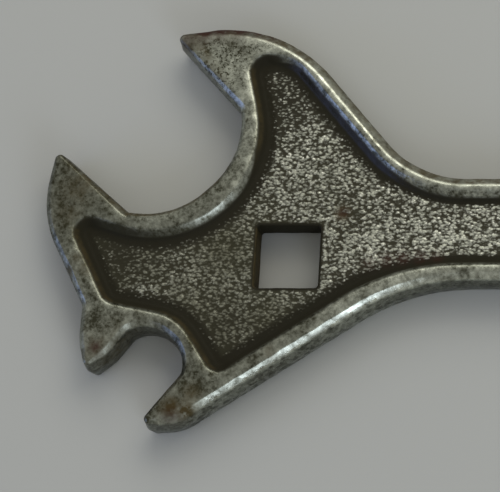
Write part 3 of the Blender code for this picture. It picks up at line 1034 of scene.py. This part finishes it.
def forging_mesh(sizes):
    """Mesh of the forging with its finish values, before its pebbles are raised."""
    skin, rings = forging_skin(sizes)
    places, kinds, shares = (np.concatenate(lists) for lists in (skin.places, skin.kinds, skin.shares))
    middle = (places.min(0) + places.max(0))[:2] / 2
    places[:, :2] -= middle
    mesh = bpy.data.meshes.new(PIECE)
    mesh.from_pydata(places.tolist(), [], skin.faces)
    mesh.shade_smooth()
    knock_dents(mesh)
    facing = vertex_vectors(mesh, "normal")
    rings = {name: ring - middle for name, ring in rings.items()}
    for name, values in finish_values(places, kinds, shares, facing, rings).items():
        mesh.attributes.new(name, "FLOAT", "POINT").data.foreach_set("value", values.astype(np.float32))
    return mesh


def put(tree, kind, inputs=(), **settings):
    """A new node with these settings. An input that is a socket is linked, and any other is set."""
    node = tree.nodes.new(kind)
    for name, value in settings.items():
        setattr(node, name, value)
    for key, value in dict(inputs).items():
        if isinstance(value, bpy.types.NodeSocket):
            tree.links.new(value, node.inputs[key])
        else:
            node.inputs[key].default_value = value
    return node


def sums(tree, operation, *values, clamp=False):
    """Output of a maths node."""
    return put(tree, "ShaderNodeMath", enumerate(values), operation=operation, use_clamp=clamp).outputs[0]


def times(tree, first, second, clamp=False):
    """Output of a product."""
    return sums(tree, "MULTIPLY", first, second, clamp=clamp)


def most(tree, first, second):
    """Output of the larger of two values."""
    return sums(tree, "MAXIMUM", first, second)


def left_of(tree, share):
    """Output of what a share leaves of 1."""
    return sums(tree, "SUBTRACT", 1.0, share)


def plus(tree, base, *parts):
    """Output of a base with so much of each value added, from (value, how much) pairs."""
    for value, amount in parts:
        base = sums(tree, "MULTIPLY_ADD", value, amount, base)
    return base


def vectors(tree, operation, *values, **named):
    """Output of a vector maths node."""
    inputs = {**dict(enumerate(values)), **named}
    return put(tree, "ShaderNodeVectorMath", inputs, operation=operation).outputs[0]


def stretch(tree, value, low, high, least=0.0):
    """Output of a smooth map from low..high to least..1."""
    inputs = {"Value": value, "From Min": low, "From Max": high, "To Min": least, "To Max": 1.0}
    return put(tree, "ShaderNodeMapRange", inputs, interpolation_type="SMOOTHSTEP").outputs["Result"]


def blended(tree, share, first, second):
    """Output of a colour mix."""
    node = put(tree, "ShaderNodeMix", {0: share}, data_type="RGBA")
    for socket, value in ((node.inputs[6], first), (node.inputs[7], second)):
        if isinstance(value, bpy.types.NodeSocket):
            tree.links.new(value, socket)
        else:
            socket.default_value = (*value, 1.0)
    return node.outputs[2]


def noise(tree, place, size, seed, detail, roughness):
    """Output of a noise whose lumps are about this size."""
    inputs = {"Vector": place, "W": seed, "Scale": 1 / size, "Detail": detail, "Roughness": roughness}
    return put(tree, "ShaderNodeTexNoise", inputs, noise_dimensions="4D").outputs[0]


def pebbles(tree, place, size, seed):
    """Output of the grain's height, 0 between pebbles and 1 on their tops, the same through the thickness."""
    shift = put(tree, "ShaderNodeCombineXYZ", {"Z": seed}).outputs[0]
    flat = vectors(tree, "MULTIPLY_ADD", place, PEBBLE_STRETCH, shift)
    pitch = sums(tree, "DIVIDE", 1.0, size)
    ripple = put(tree, "ShaderNodeTexNoise", {"Vector": flat, "Scale": pitch, "Detail": 1.0})
    sway = vectors(tree, "SUBTRACT", ripple.outputs["Color"], (0.5, 0.5, 0.5))
    sway = vectors(tree, "SCALE", sway, Scale=times(tree, size, PEBBLE_SWAY))
    cells = put(
        tree, "ShaderNodeTexVoronoi",
        {"Vector": vectors(tree, "ADD", flat, sway), "Scale": pitch, "Smoothness": PEBBLE_BLEND},
        voronoi_dimensions="3D", feature="SMOOTH_F1",
    ).outputs["Distance"]
    dome = times(tree, stretch(tree, cells, *DOME_RAMP), PEBBLE_DOME)
    return plus(tree, dome, (stretch(tree, ripple.outputs[0], *RIPPLE_RAMP), 1 - PEBBLE_DOME))


def surface_tree():
    """Geometry nodes that raise the web's pebbles and leave shallow hollows in the rest of the skin."""
    tree = bpy.data.node_groups.new("forged_surface", "GeometryNodeTree")
    tree.is_modifier = True
    wanted = (
        ("Geometry", "NodeSocketGeometry"),
        ("Grain Size", "NodeSocketFloat"),
        ("Grain Depth", "NodeSocketFloat"),
        ("Skin Depth", "NodeSocketFloat"),
        ("Seed", "NodeSocketFloat"),
        ("Material", "NodeSocketMaterial"),
    )
    for name, kind in wanted:
        tree.interface.new_socket(name, in_out="INPUT", socket_type=kind)
    tree.interface.new_socket("Geometry", in_out="OUTPUT", socket_type="NodeSocketGeometry")
    given = put(tree, "NodeGroupInput").outputs
    place = put(tree, "GeometryNodeInputPosition").outputs[0]
    named = put(tree, "GeometryNodeInputNamedAttribute", {"Name": "web"}, data_type="FLOAT")
    web = named.outputs["Attribute"]
    grain = times(tree, pebbles(tree, place, given["Grain Size"], given["Seed"]), web)
    sunk = times(tree, left_of(tree, web), stretch(tree, noise(tree, place, *DIMPLES), *DIMPLE_RAMP))
    raised = times(tree, plus(tree, grain, (web, -0.5)), given["Grain Depth"])
    lift = sums(tree, "SUBTRACT", raised, times(tree, sunk, given["Skin Depth"]))
    move = vectors(tree, "SCALE", put(tree, "GeometryNodeInputNormal").outputs[0], Scale=lift)
    moved = put(tree, "GeometryNodeSetPosition", {"Geometry": given["Geometry"], "Offset": move}).outputs[0]
    real = put(tree, "GeometryNodeRealizeInstances", {"Geometry": moved}).outputs[0]
    done = put(tree, "GeometryNodeSetMaterial", {"Geometry": real, "Material": given["Material"]}).outputs[0]
    put(tree, "NodeGroupOutput", {"Geometry": done})
    return tree


def rim_steel(tree, finish, marks, lumps, off, rubbed):
    """Colour of the rims and outer walls: dull forged skin, rubbed bright and pitted, with painted highlights
    on the shoulder and the lower edge, under an oily film that also paints shade towards the jaws.
    """
    edge, pits, soot = marks["edge"], marks["pits"], marks["soot"]
    pitted = times(tree, most(tree, pits, LEAST_PITS), stretch(tree, lumps["pit"], *PIT_RAMP))
    pitted = times(tree, pitted, plus(tree, 1.0, (edge, -0.7)))
    worn = times(tree, off["wear"], plus(tree, 0.8, (edge, 1.0)))
    # Walls facing south-west are darker here, to dim the cool lamp's reflection: painted shade
    tone = plus(
        tree, RIM_TONE,
        (off["cloud"], 0.7), (off["speck"], 1.1), (worn, 1.0), (pitted, -0.8), (pits, 0.32),
        (soot, -0.1), (marks["oil"], -0.12), (rubbed, 0.34), (edge, 0.25),
    )
    bare = blended(tree, tone, finish.dull_steel, finish.bright_steel)
    return blended(tree, times(tree, soot, RIM_FILM_AND_SHADE), bare, finish.film_and_shade)


def web_steel(tree, finish, marks, off, grain):
    """Tone of the web, from hollows to pebble tops, and its colour, with painted glints on some pebble tops
    and painted shade towards the jaws.
    """
    web, soot = marks["web"], marks["soot"]
    top = plus(
        tree, grain,
        (off["speck"], 0.5), (off["fleck"], 0.9), (off["cloud"], 0.7), (left_of(tree, web), -0.45),
    )
    tone = times(tree, stretch(tree, top, *TOP_RAMP), stretch(tree, web, *WEB_RAMP))
    low = blended(tree, soot, finish.hollow, finish.film_and_shade)
    high = blended(tree, soot, finish.pebble, finish.tarnish_and_shade)
    # Painted glints on random flecks of the clean pebble tops
    glint = times(tree, stretch(tree, off["fleck"], *GLINT_RAMP), plus(tree, 0.8, (soot, -0.8)))
    high = blended(tree, glint, high, finish.glint)
    return tone, blended(tree, tone, low, high)


def steel_material(finish):
    """Worn forged steel: rubbed rims, recess walls darkened by dirt and painted shade, and a pebbled web with
    bright tops and painted glints.
    """
    material = bpy.data.materials.new("forged_steel")
    material.use_nodes = True
    tree = material.node_tree
    tree.nodes.clear()
    place = put(tree, "ShaderNodeTexCoord").outputs["Object"]
    marks = {
        name: put(tree, "ShaderNodeAttribute", attribute_name=name).outputs["Fac"]
        for name in ("web", "slope", "edge", "shine", "oil", "rust", "stain", "pits", "soot")
    }
    web, slope, edge, shine, oil, rust, stain, pits, _ = marks.values()
    grain = pebbles(tree, place, finish.grain_size, float(finish.grain_seed))
    lumps = {name: noise(tree, place, *values) for name, values in NOISES.items()}
    speck = lumps["speck"]
    off = {name: sums(tree, "SUBTRACT", lumps[name], 0.5) for name in ("cloud", "speck", "wear", "fleck")}
    scuff = stretch(tree, lumps["scuff"], *SCUFF_RAMP)
    # Polish and painted highlights, broken up by scuffs
    rubbed = times(tree, shine, plus(tree, 1.0, (scuff, -0.9)))

    # Clean steel, then what lies on it: dirt and painted shade in the recess, brown stains that also paint a
    # warm reflection and shade, and rust
    web_tone, web_colour = web_steel(tree, finish, marks, off, grain)
    inside = times(tree, sums(tree, "ADD", web, slope), 2.0, clamp=True)
    colour = blended(tree, inside, rim_steel(tree, finish, marks, lumps, off, rubbed), web_colour)
    # Recess walls, the web's margin and the hole darkened: dirt and painted shade
    dirt_and_shade = times(tree, slope, plus(tree, 1.3, (off["cloud"], 0.6)), clamp=True)
    dirt_and_shade = times(tree, dirt_and_shade, plus(tree, 1.0, (web_tone, -0.7)))
    patchy = plus(tree, times(tree, lumps["blotch"], 0.6), (speck, 0.4))
    brown = times(tree, stain, stretch(tree, patchy, *BLOTCH_RAMP, LEAST_BLOTCH), clamp=True)
    rusty = times(tree, rust, stretch(tree, speck, *RUST_RAMP), clamp=True)
    for share, paint in ((dirt_and_shade, finish.grime_and_shade), (brown, finish.stain), (rusty, finish.rust)):
        colour = blended(tree, share, colour, paint)

    # Gloss: dirt and painted shade, brown stains and rust hide the metal and roughen it, while oil and
    # rubbing smooth it
    hidden = times(tree, inside, left_of(tree, web_tone))
    for cover in (dirt_and_shade, times(tree, brown, 0.7), times(tree, rusty, 0.9)):
        hidden = most(tree, hidden, cover)
    metal = sums(tree, "MULTIPLY_ADD", hidden, -0.95, 1.0, clamp=True)
    dry = times(tree, left_of(tree, oil), most(tree, dirt_and_shade, most(tree, brown, rusty)))
    rough = plus(
        tree, finish.roughness,
        (off["speck"], 0.2), (dry, 0.35), (oil, -0.14), (times(tree, shine, scuff), 0.12),
        (rubbed, -0.12), (sums(tree, "SUBTRACT", edge, 0.5, clamp=True), -0.2),
    )
    pebbled = times(tree, grain, most(tree, web, times(tree, pits, 0.6)))
    height = plus(tree, times(tree, lumps["fine"], 0.4), (speck, 0.6), (pebbled, 0.8))
    bump = put(
        tree, "ShaderNodeBump", {"Height": height, "Strength": BUMP_STRENGTH, "Distance": BUMP_DEPTH}
    ).outputs[0]
    shader = put(
        tree, "ShaderNodeBsdfPrincipled",
        {
            "Base Color": colour, "Roughness": rough, "Metallic": metal,
            "Specular IOR Level": STEEL_GLOSS, "Normal": bump,
        },
    ).outputs[0]
    put(tree, "ShaderNodeOutputMaterial", {"Surface": shader})
    return material


def floor_material(colour):
    material = bpy.data.materials.new("pale_floor")
    material.use_nodes = True
    shader = material.node_tree.nodes["Principled BSDF"]
    shader.inputs["Base Color"].default_value = (*colour, 1.0)
    shader.inputs["Roughness"].default_value = FLOOR_ROUGHNESS
    shader.inputs["Specular IOR Level"].default_value = FLOOR_GLOSS
    return material


def soft_light(name, azimuth, elevation, size, power, colour, target):
    """A square area light that faces the target from this direction."""
    light = bpy.data.lights.new(name, "AREA")
    light.shape = "SQUARE"
    light.size = size
    light.energy = power
    light.color = colour
    lamp = bpy.data.objects.new(name, light)
    level = heading(azimuth) * math.cos(math.radians(elevation))
    out = Vector((level.x, level.y, math.sin(math.radians(elevation))))
    turn = out.to_track_quat("Z", "Y").to_matrix().to_4x4()
    lamp.matrix_world = Matrix.Translation(target + out * LIGHT_DISTANCE) @ turn
    bpy.context.scene.collection.objects.link(lamp)


def make_camera():
    """The camera at the photo's viewing angle."""
    side = Vector(VIEW_SIDE).normalized()
    tilt = math.radians(VIEW_TILT)
    back = Vector((side.x * math.sin(tilt), side.y * math.sin(tilt), math.cos(tilt)))
    right = (Vector((1, 0, 0)) - back * back.x).normalized()
    up = back.cross(right)
    camera = bpy.data.cameras.new("camera")
    camera.lens = VIEW_LENS
    camera.sensor_width = VIEW_SENSOR
    camera.sensor_fit = "HORIZONTAL"
    camera.clip_start = VIEW_NEAREST
    camera.clip_end = VIEW_FURTHEST
    holder = bpy.data.objects.new("camera", camera)
    turn = Matrix((right, up, back)).transposed().to_4x4()
    holder.matrix_world = Matrix.Translation(VIEW_POINT + back * VIEW_DISTANCE) @ turn
    bpy.context.scene.collection.objects.link(holder)
    bpy.context.scene.camera = holder


class WRENCH_OT_forging(bpy.types.Operator):
    """Builds the worn forging in place of its plain solid"""

    bl_idname = "wrench.forging"
    bl_label = "Build Forging"

    def execute(self, context):
        finish = context.scene.wrench_finish
        piece = bpy.data.objects.new(PIECE, forging_mesh(context.scene.wrench_sizes))
        context.scene.collection.objects.link(piece)
        tree = surface_tree()
        modifier = piece.modifiers.new("forged_surface", "NODES")
        modifier.node_group = tree
        inputs = {
            "Grain Size": finish.grain_size,
            "Grain Depth": finish.grain_depth,
            "Skin Depth": finish.skin_depth,
            "Seed": float(finish.grain_seed),
            "Material": steel_material(finish),
        }
        for item in tree.interface.items_tree:
            if item.in_out == "INPUT" and item.name in inputs:
                modifier[item.identifier] = inputs[item.name]
        graph = context.evaluated_depsgraph_get()
        made = bpy.data.meshes.new_from_object(
            piece.evaluated_get(graph), preserve_all_data_layers=True, depsgraph=graph
        )
        piece.modifiers.remove(modifier)
        piece.data = made
        made.name = PIECE
        made.calc_loop_triangles()
        triangles = len(made.loop_triangles)
        if triangles >= MOST_TRIANGLES:
            raise RuntimeError(f"the forging has {triangles} triangles")
        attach(piece, BODY)
        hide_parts(NODE)
        return {"FINISHED"}


class WRENCH_OT_stage(bpy.types.Operator):
    """Lays the pale floor and sets the lights and the camera"""

    bl_idname = "wrench.stage"
    bl_label = "Build Stage"

    def execute(self, context):
        look = context.scene.wrench_stage
        mesh = bpy.data.meshes.new("floor")
        corners = [(x * FLOOR_HALF, y * FLOOR_HALF, 0) for x, y in ((-1, -1), (1, -1), (1, 1), (-1, 1))]
        mesh.from_pydata(corners, [], [(0, 1, 2, 3)])
        mesh.materials.append(floor_material(look.floor_colour))
        floor = bpy.data.objects.new("floor", mesh)
        context.scene.collection.objects.link(floor)
        target = Vector((VIEW_POINT.x, VIEW_POINT.y, 0))
        for name, place in LIGHTS.items():
            power, colour = getattr(look, f"{name}_power"), getattr(look, f"{name}_colour")
            soft_light(f"{name}_light", *place, power, colour, target)
        world = bpy.data.worlds.new("studio")
        world.use_nodes = True
        background = world.node_tree.nodes["Background"]
        background.inputs["Color"].default_value = STUDIO_COLOUR
        background.inputs["Strength"].default_value = look.ambient
        context.scene.world = world
        context.scene.view_settings.view_transform = "Standard"
        make_camera()
        return {"FINISHED"}


class WRENCH_PT_panel(bpy.types.Panel):
    """Sizes, finish and stage of the wrench"""

    bl_idname = "WRENCH_PT_panel"
    bl_label = "Open-end Wrench"
    bl_space_type = "VIEW_3D"
    bl_region_type = "UI"
    bl_category = "Wrench"

    def draw(self, context):
        scene = context.scene
        for title, group in (
            ("Sizes", scene.wrench_sizes), ("Finish", scene.wrench_finish), ("Stage", scene.wrench_stage)
        ):
            box = self.layout.box()
            box.label(text=title)
            for name in group.__annotations__:
                box.prop(group, name)
        for operator in (WRENCH_OT_forging, WRENCH_OT_stage):
            self.layout.operator(operator.bl_idname)


CLASSES = (WrenchSizes, WrenchFinish, WrenchStage, WRENCH_OT_forging, WRENCH_OT_stage, WRENCH_PT_panel)


def register():
    for item in CLASSES:
        bpy.utils.register_class(item)
    bpy.types.Scene.wrench_sizes = PointerProperty(type=WrenchSizes)
    bpy.types.Scene.wrench_finish = PointerProperty(type=WrenchFinish)
    bpy.types.Scene.wrench_stage = PointerProperty(type=WrenchStage)


def unregister():
    del bpy.types.Scene.wrench_sizes
    del bpy.types.Scene.wrench_finish
    del bpy.types.Scene.wrench_stage
    for item in reversed(CLASSES):
        bpy.utils.unregister_class(item)


def main():
    register()
    bpy.ops.wrench.forging()
    bpy.ops.wrench.stage()


if __name__ == "__main__":
    main()
